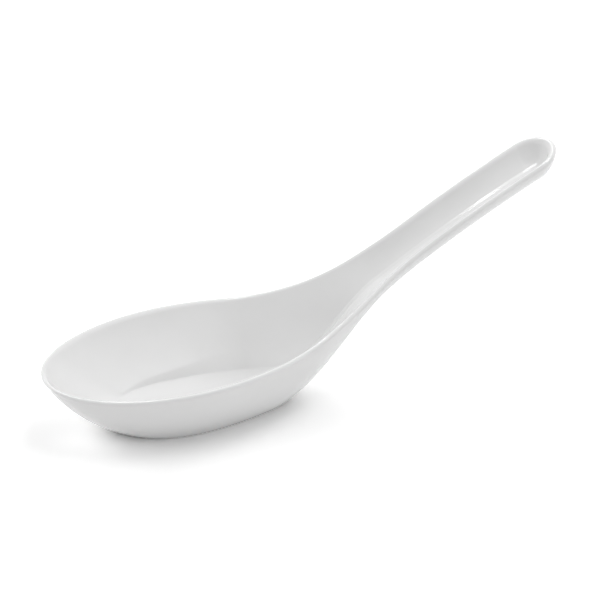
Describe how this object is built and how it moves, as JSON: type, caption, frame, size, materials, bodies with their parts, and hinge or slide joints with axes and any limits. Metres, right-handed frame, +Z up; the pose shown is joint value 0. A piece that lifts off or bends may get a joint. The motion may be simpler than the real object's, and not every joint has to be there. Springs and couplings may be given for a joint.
{
  "type": "amuse-bouche spoon",
  "caption": "White glazed amuse-bouche spoon: an oval bowl on a flat base, with a channelled handle that rises from it, for serving small bites of food.",
  "frame": {"origin": "on the table, on the flat base, under the widest place of the bowl", "axes": "+X along the spoon towards the end of the handle, +Y across it, +Z up"},
  "size_m": [0.135, 0.045, 0.0558],
  "materials": {
    "glaze": "smooth glossy white glaze"
  },
  "bodies": {
    "root": {"bowl": "glaze", "handle": "glaze"}
  },
  "joints": []
}
